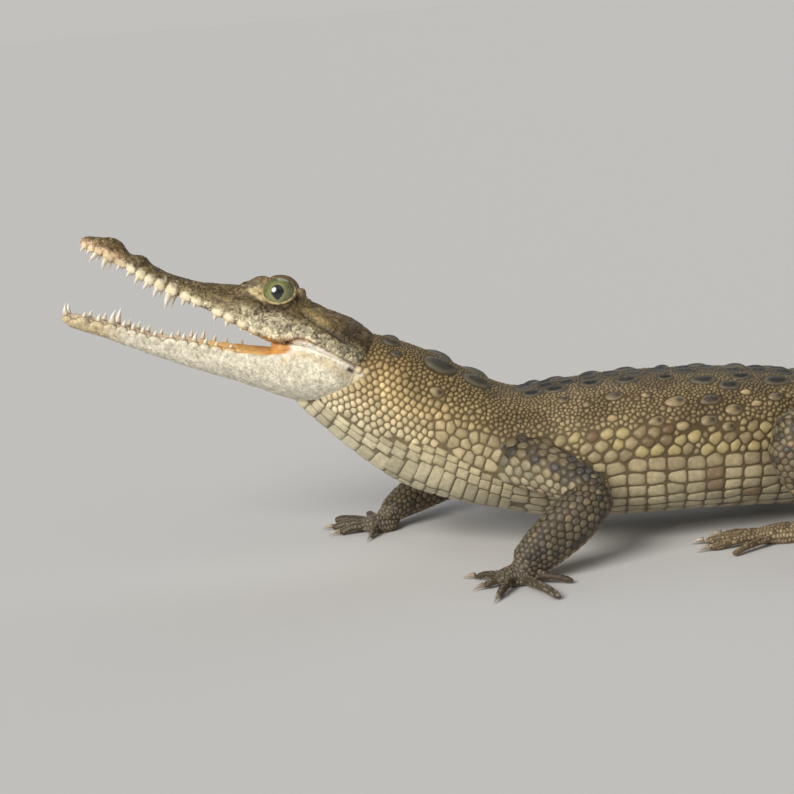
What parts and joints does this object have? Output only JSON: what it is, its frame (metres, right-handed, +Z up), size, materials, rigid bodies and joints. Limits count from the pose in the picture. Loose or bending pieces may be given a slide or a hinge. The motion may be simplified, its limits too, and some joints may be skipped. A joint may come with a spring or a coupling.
{
  "type": "juvenile crocodile",
  "caption": "Still life-size crocodile model: long slim snout raised with jaws open, standing on four splayed legs, crested tail laid along the floor.",
  "frame": {"origin": "centre of the footprint at floor level, under the middle of the bounding box", "axes": "-X is the way the animal faces, +Y its right side, +Z up"},
  "size_m": [0.6818, 0.1558, 0.138],
  "materials": {
    "eye_left": "clear glossy eye, olive iris and dark upright pupil",
    "eye_right": "clear glossy eye, olive iris and dark upright pupil",
    "head": "olive-brown scaled skin, satin, with ivory teeth",
    "left_foot": "olive-brown scaled skin, satin",
    "left_foot_claw_inner": "horn, satin",
    "left_foot_claw_second": "horn, satin",
    "left_foot_claw_third": "horn, satin",
    "left_forearm": "olive-brown scaled skin, satin",
    "left_hand": "olive-brown scaled skin, satin",
    "left_hand_claw_inner": "horn, satin",
    "left_hand_claw_second": "horn, satin",
    "left_hand_claw_third": "horn, satin",
    "left_shank": "olive-brown scaled skin, satin",
    "left_thigh": "olive-brown scaled skin, satin",
    "left_upper_arm": "olive-brown scaled skin, satin",
    "lower_jaw": "pale scaled skin, satin, with ivory teeth",
    "neck": "olive-brown scaled skin, satin",
    "right_foot": "olive-brown scaled skin, satin",
    "right_foot_claw_inner": "horn, satin",
    "right_foot_claw_second": "horn, satin",
    "right_foot_claw_third": "horn, satin",
    "right_forearm": "olive-brown scaled skin, satin",
    "right_hand": "olive-brown scaled skin, satin",
    "right_hand_claw_inner": "horn, satin",
    "right_hand_claw_second": "horn, satin",
    "right_hand_claw_third": "horn, satin",
    "right_shank": "olive-brown scaled skin, satin",
    "right_thigh": "olive-brown scaled skin, satin",
    "right_upper_arm": "olive-brown scaled skin, satin",
    "tail_base": "olive-brown scaled skin, satin",
    "tail_mid": "olive-brown scaled skin, satin",
    "tail_tip": "olive-brown scaled skin, satin",
    "tongue": "moist lining, satin",
    "trunk": "olive-brown scaled skin, satin"
  },
  "bodies": {
    "root": {"eye_left": "eye_left", "eye_right": "eye_right", "head": "head", "left_foot": "left_foot", "left_foot_claw_inner": "left_foot_claw_inner", "left_foot_claw_second": "left_foot_claw_second", "left_foot_claw_third": "left_foot_claw_third", "left_forearm": "left_forearm", "left_hand": "left_hand", "left_hand_claw_inner": "left_hand_claw_inner", "left_hand_claw_second": "left_hand_claw_second", "left_hand_claw_third": "left_hand_claw_third", "left_shank": "left_shank", "left_thigh": "left_thigh", "left_upper_arm": "left_upper_arm", "lower_jaw": "lower_jaw", "neck": "neck", "right_foot": "right_foot", "right_foot_claw_inner": "right_foot_claw_inner", "right_foot_claw_second": "right_foot_claw_second", "right_foot_claw_third": "right_foot_claw_third", "right_forearm": "right_forearm", "right_hand": "right_hand", "right_hand_claw_inner": "right_hand_claw_inner", "right_hand_claw_second": "right_hand_claw_second", "right_hand_claw_third": "right_hand_claw_third", "right_shank": "right_shank", "right_thigh": "right_thigh", "right_upper_arm": "right_upper_arm", "tail_base": "tail_base", "tail_mid": "tail_mid", "tail_tip": "tail_tip", "tongue": "tongue", "trunk": "trunk"}
  },
  "joints": []
}
